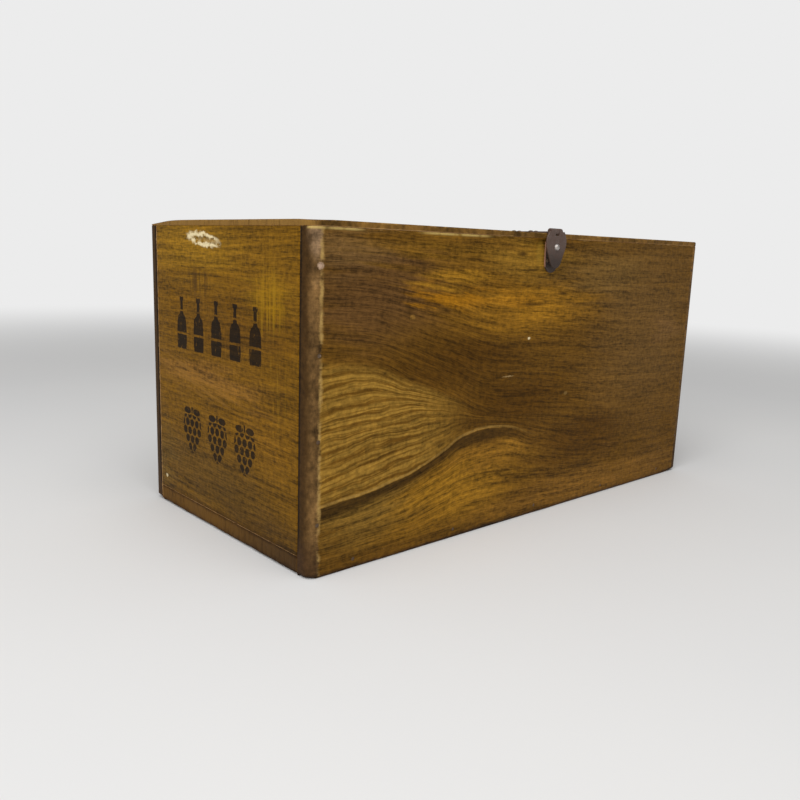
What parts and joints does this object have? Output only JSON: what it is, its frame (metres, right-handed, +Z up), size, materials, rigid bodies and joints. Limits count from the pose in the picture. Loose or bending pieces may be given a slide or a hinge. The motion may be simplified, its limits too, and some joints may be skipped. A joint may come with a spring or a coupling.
{
  "type": "wooden wine box",
  "caption": "Wooden box for bottles with long boards over its ends and base, a lid on two butt hinges and a small iron hasp on the front.",
  "frame": {"origin": "middle of the underside of the base board", "axes": "+X along the long side, -Y towards the front with the hasp, +Z up"},
  "size_m": [0.45, 0.2331, 0.2286],
  "materials": {
    "stained_wood": "stained and waxed pine, worn",
    "base_wood": "stained pine, darker, worn",
    "dark_iron": "aged, dull, rubbed at the edges",
    "nail_steel": "tarnished",
    "knob_steel": "worn bright"
  },
  "bodies": {
    "box": {"base_board": "base_wood", "front_board": "stained_wood", "back_board": "stained_wood", "left_end_board": "stained_wood", "right_end_board": "stained_wood", "front_corner_nails": "nail_steel", "back_corner_nails": "nail_steel", "front_base_nails": "nail_steel", "back_base_nails": "nail_steel", "end_base_nails": "nail_steel", "left_hinge_back_leaf": "dark_iron", "right_hinge_back_leaf": "dark_iron", "left_hinge_pin": "dark_iron", "right_hinge_pin": "dark_iron", "left_hinge_back_screws": "nail_steel", "right_hinge_back_screws": "nail_steel", "hasp_keeper_plate": "dark_iron", "hasp_keeper_tacks": "nail_steel"},
    "lid": {"lid_board": "stained_wood", "left_hinge_lid_leaf": "dark_iron", "right_hinge_lid_leaf": "dark_iron", "left_hinge_lid_screws": "nail_steel", "right_hinge_lid_screws": "nail_steel", "hasp_leaf": "dark_iron", "hasp_leaf_tacks": "nail_steel", "hasp_pin": "dark_iron"},
    "flap": {"hasp_flap": "dark_iron", "hasp_knob": "knob_steel"}
  },
  "joints": [
    {"name": "lid_hinge", "type": "hinge", "parent": "box", "child": "lid", "pos_m": [0, 0.1128, 0.221], "axis": [-1, 0, 0], "range_deg": [0, 180]},
    {"name": "hasp_hinge", "type": "hinge", "parent": "lid", "child": "flap", "pos_m": [0, -0.1128, 0.2262], "axis": [-1, 0, 0], "range_deg": [0, 190]}
  ]
}
